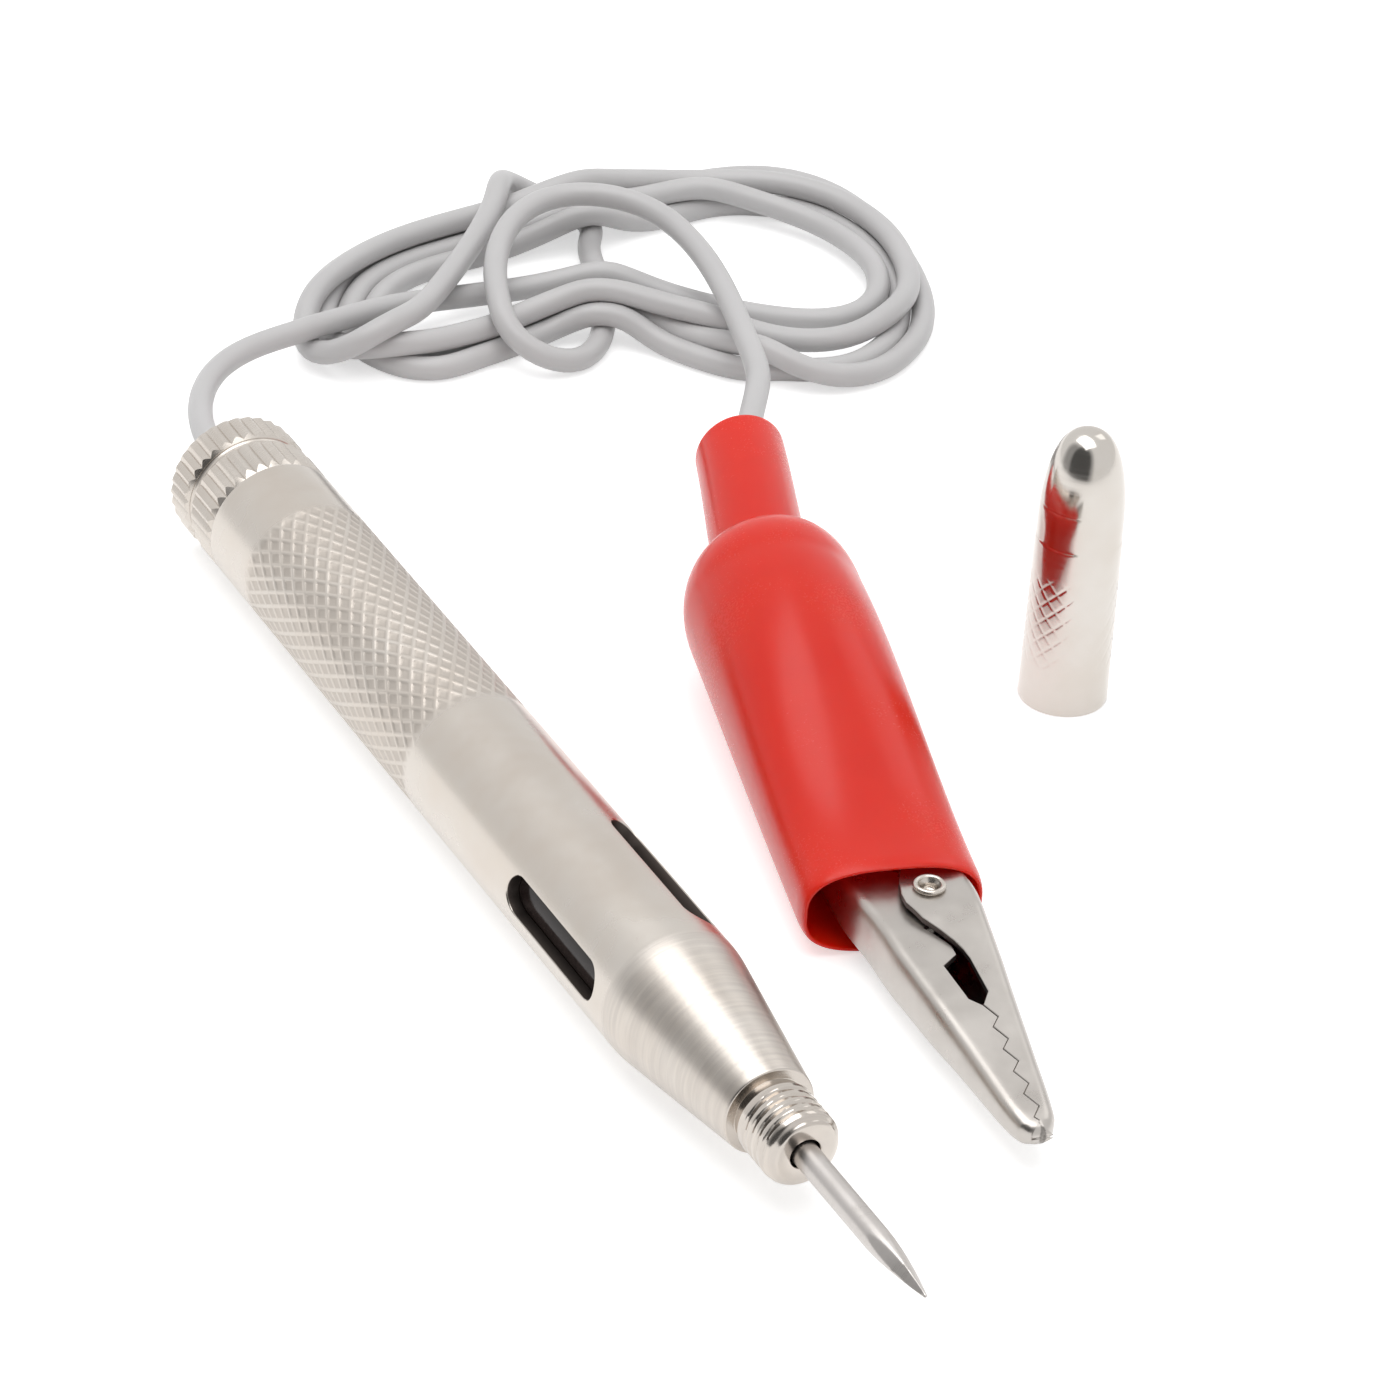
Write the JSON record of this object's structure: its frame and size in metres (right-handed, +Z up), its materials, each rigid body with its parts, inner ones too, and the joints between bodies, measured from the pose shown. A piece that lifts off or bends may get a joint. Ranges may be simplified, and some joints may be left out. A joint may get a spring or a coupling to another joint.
{
  "type": "automotive circuit tester",
  "caption": "Pencil circuit tester with a knurled metal barrel, bulb windows, a ground needle with its screw cap off, and a cord to a booted spring clip.",
  "frame": {"origin": "middle of the footprint of the tester, the clip and the standing cap, on the table", "axes": "+Y along the tester from its needle to its tail, +X from the tester towards the clip and the cap, +Z up"},
  "size_m": [0.0948, 0.1827, 0.0279],
  "materials": {
    "nickel": "satin nickel plate, polished on the plain zones",
    "steel": "satin",
    "brass": "satin",
    "copper": "tinned and soldered",
    "insulator": "matt",
    "clear": "clear",
    "filament": "matt",
    "boot": "soft gloss",
    "cord": "satin"
  },
  "bodies": {
    "root": {"barrel": "nickel", "cord_ferrule": "brass", "tail_conductor": "copper", "insulating_washer": "insulator", "contact_disc": "brass", "spring_sleeve": "insulator", "contact_spring": "steel", "contact_plunger": "brass", "bulb_holder": "brass", "bulb_base": "brass", "base_insulator": "insulator", "bulb_glass": "clear", "bulb_filament": "filament", "window_sleeve": "clear", "probe_needle": "steel", "needle_cap": "nickel", "jaw_fixed": "steel", "clip_rivet": "steel", "clip_spring": "steel", "clip_conductor": "copper", "clip_boot": "boot", "cord_tail": "cord", "cord_hank": "cord", "cord_cross": "cord", "cord_clip": "cord"},
    "tail_cap": {"tail_cap": "nickel"},
    "moving_jaw": {"jaw_moving": "steel"}
  },
  "joints": [
    {"name": "jaw_hinge", "type": "hinge", "parent": "root", "child": "moving_jaw", "pos_m": [-0.00222, -0.0201, 0.0045], "axis": [0, 0, -1], "range_deg": [0, 13], "stiffness_Nm_per_rad": 0.05, "springref_deg": -17.19, "deforming": ["clip_spring"]},
    {"name": "tail_cap_turn", "type": "hinge", "parent": "root", "child": "tail_cap", "pos_m": [-0.02857, 0.0622, 0.0065], "axis": [0, 1, 0], "range_deg": [0, 90]}
  ]
}
